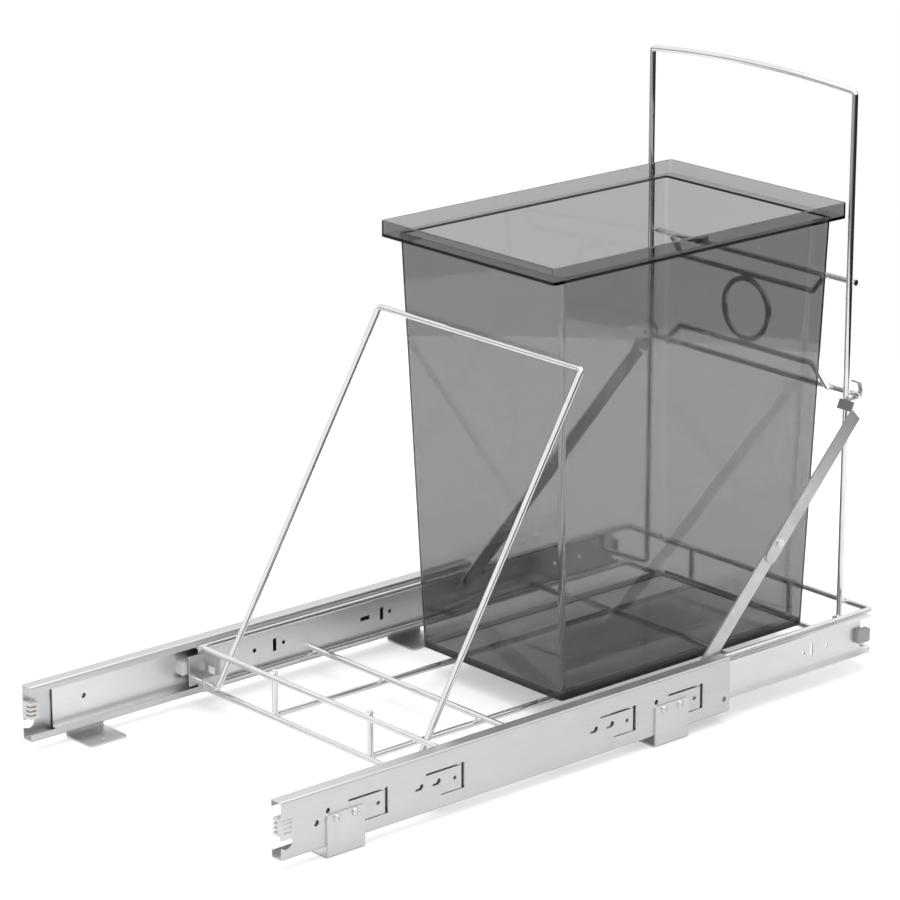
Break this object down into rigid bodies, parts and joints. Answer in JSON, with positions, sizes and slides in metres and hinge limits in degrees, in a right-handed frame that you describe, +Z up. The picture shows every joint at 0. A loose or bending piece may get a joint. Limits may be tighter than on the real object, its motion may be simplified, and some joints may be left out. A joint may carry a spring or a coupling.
{
  "type": "pull-out waste bin",
  "caption": "Wire carriage on ball-bearing rails that pulls a tapered translucent waste bin out of a base cabinet, with a front arch and a hinged rear bail.",
  "frame": {"origin": "centre of the bounding box's footprint, on the cabinet floor that the feet stand on, with the carriage partly pulled out as stored", "axes": "+Z up, -Y towards the cabinet's door (the way the carriage pulls out), X across the unit"},
  "size_m": [0.3282, 0.6428, 0.4869],
  "materials": {
    "zinc_steel": "bright zinc plate, faint rolling lines",
    "zinc_strip": "zinc-plated flat strip",
    "chrome_wire": "bright chrome plate",
    "smoke_plastic": "smoke-grey translucent moulded plastic, polished",
    "grey_plastic": "light-grey moulded plastic",
    "cage_steel": "pressed sheet steel",
    "bearing_steel": "polished bearing steel",
    "screw_steel": "zinc-plated screws and rivets"
  },
  "bodies": {
    "cabinet_rails": {"outer_rail_left": "zinc_steel", "outer_rail_right": "zinc_steel", "rear_bumper_left": "grey_plastic", "rear_bumper_right": "grey_plastic", "foot_rear_left": "zinc_steel", "foot_rear_right": "zinc_steel", "foot_front_left": "zinc_steel", "foot_front_right": "zinc_steel", "foot_screws": "screw_steel"},
    "outer_cage_left": {"outer_ball_cage_left": "cage_steel", "outer_balls_left": "bearing_steel"},
    "middle_member_left": {"middle_rail_left": "zinc_steel", "middle_stop_left": "grey_plastic"},
    "inner_cage_left": {"inner_ball_cage_left": "cage_steel", "inner_balls_left": "bearing_steel"},
    "outer_cage_right": {"outer_ball_cage_right": "cage_steel", "outer_balls_right": "bearing_steel"},
    "middle_member_right": {"middle_rail_right": "zinc_steel", "middle_stop_right": "grey_plastic"},
    "inner_cage_right": {"inner_ball_cage_right": "cage_steel", "inner_balls_right": "bearing_steel"},
    "bail": {"bail": "chrome_wire"},
    "bin": {"bin": "smoke_plastic"},
    "carriage": {"drawer_rail_left": "zinc_steel", "drawer_rail_right": "zinc_steel", "drawer_latch_left": "grey_plastic", "drawer_latch_right": "grey_plastic", "rear_clip_left": "zinc_steel", "rear_clip_right": "zinc_steel", "basket_wire_left": "chrome_wire", "basket_wire_right": "chrome_wire", "arch_post_left": "chrome_wire", "arch_post_right": "chrome_wire", "brace_lower_left": "zinc_strip", "brace_lower_right": "zinc_strip", "brace_upper_left": "zinc_strip", "brace_upper_right": "zinc_strip", "upper_frame_wire": "chrome_wire", "lower_frame_wire": "chrome_wire", "upper_rear_wire": "chrome_wire", "lower_rear_wire": "chrome_wire", "cross_wire_rear": "chrome_wire", "cross_wire_front": "chrome_wire", "arch_top": "chrome_wire", "arch_tie": "chrome_wire", "hook_wire": "chrome_wire", "ring_bar_upper": "chrome_wire", "ring_bar_lower": "chrome_wire", "ring": "chrome_wire", "brace_rivets": "screw_steel"}
  },
  "joints": [
    {"name": "carriage_slide", "type": "slide", "parent": "cabinet_rails", "child": "carriage", "axis": [0, -1, 0], "range_m": [-0.164, 0.266]},
    {"name": "outer_cage_left_slide", "type": "slide", "parent": "cabinet_rails", "child": "outer_cage_left", "axis": [0, -1, 0], "range_m": [-0.00902, 0.01463]},
    {"name": "middle_member_left_slide", "type": "slide", "parent": "cabinet_rails", "child": "middle_member_left", "axis": [0, -1, 0], "range_m": [-0.01804, 0.02926]},
    {"name": "inner_cage_left_slide", "type": "slide", "parent": "cabinet_rails", "child": "inner_cage_left", "axis": [0, -1, 0], "range_m": [-0.09102, 0.14763]},
    {"name": "outer_cage_right_slide", "type": "slide", "parent": "cabinet_rails", "child": "outer_cage_right", "axis": [0, -1, 0], "range_m": [-0.00902, 0.01463]},
    {"name": "middle_member_right_slide", "type": "slide", "parent": "cabinet_rails", "child": "middle_member_right", "axis": [0, -1, 0], "range_m": [-0.01804, 0.02926]},
    {"name": "inner_cage_right_slide", "type": "slide", "parent": "cabinet_rails", "child": "inner_cage_right", "axis": [0, -1, 0], "range_m": [-0.09102, 0.14763]},
    {"name": "bail_swing", "type": "hinge", "parent": "carriage", "child": "bail", "pos_m": [0, 0.1612, 0.0223], "axis": [-1, 0, 0], "range_deg": [0, 8]},
    {"name": "bin_lift", "type": "slide", "parent": "carriage", "child": "bin", "axis": [0, 0, 1], "range_m": [0, 0.085]}
  ],
  "couplings": [
    {"joint": "outer_cage_left_slide", "follows": "carriage_slide", "ratio": 0.055},
    {"joint": "middle_member_left_slide", "follows": "carriage_slide", "ratio": 0.11},
    {"joint": "inner_cage_left_slide", "follows": "carriage_slide", "ratio": 0.555},
    {"joint": "outer_cage_right_slide", "follows": "carriage_slide", "ratio": 0.055},
    {"joint": "middle_member_right_slide", "follows": "carriage_slide", "ratio": 0.11},
    {"joint": "inner_cage_right_slide", "follows": "carriage_slide", "ratio": 0.555}
  ]
}
